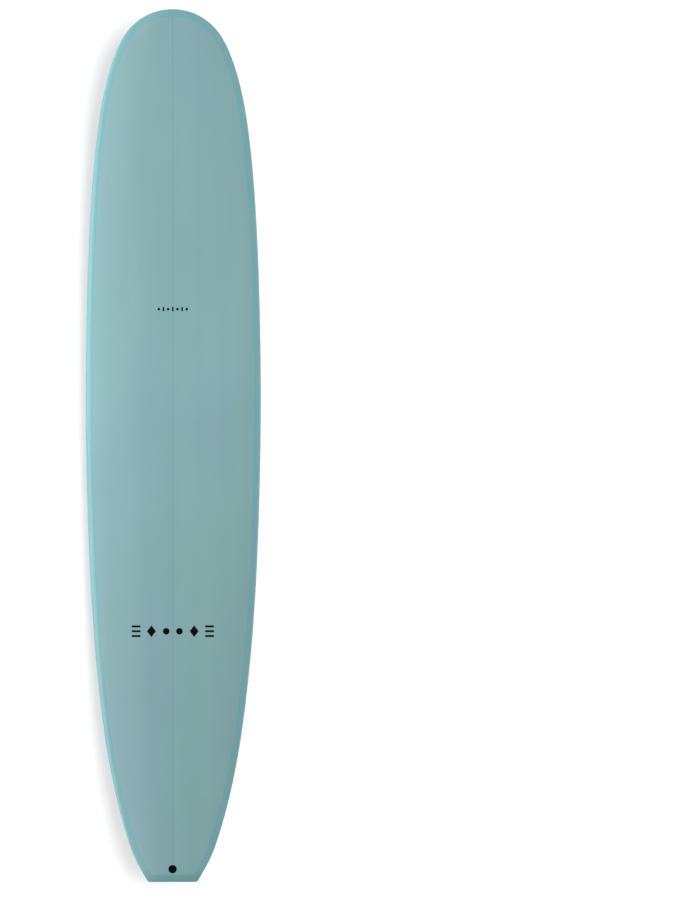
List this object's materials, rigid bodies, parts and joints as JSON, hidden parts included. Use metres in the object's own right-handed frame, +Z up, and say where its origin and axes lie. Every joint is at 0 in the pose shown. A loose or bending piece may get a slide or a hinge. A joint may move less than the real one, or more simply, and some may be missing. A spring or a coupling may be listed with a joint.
{
  "type": "surfboard",
  "caption": "Longboard surfboard: foam core with a wood stringer in a tinted laminate, round nose, squared tail, slotted fin box and leash plug.",
  "frame": {"origin": "below the middle of the board, at the height of the lowest point of its bottom, lying deck up", "axes": "+Y from tail to nose, +X to the right of someone on the deck who faces the nose, +Z up out of the deck"},
  "size_m": [0.5839, 2.8955, 0.1277],
  "materials": {
    "tinted_laminate": "gloss, tinted resin over glass cloth",
    "tinted_lap": "gloss, two tinted layers where the laps cross",
    "foam": "matte, planed foam",
    "stringer_wood": "satin, planed wood",
    "black_plastic": "satin, moulded",
    "clear_resin": "gloss, potting resin",
    "dark_ink": "gloss, print under resin",
    "red_ink": "gloss, print under resin"
  },
  "bodies": {
    "root": {"foam_blank_left": "foam", "foam_blank_right": "foam", "stringer": "stringer_wood", "bottom_laminate": "tinted_lap", "deck_patch_laminate": "tinted_laminate", "deck_laminate": "tinted_laminate", "bottom_coat": "tinted_laminate", "fin_box_housing": "black_plastic", "fin_box_resin_bed": "clear_resin", "leash_plug_cup": "black_plastic", "leash_plug_bar": "black_plastic", "leash_plug_resin_bed": "clear_resin", "large_mark": "dark_ink", "small_mark": "dark_ink", "rows_mark": "dark_ink", "wave_mark": "dark_ink", "badge_ring": "dark_ink", "badge_disc": "red_ink"}
  },
  "joints": []
}
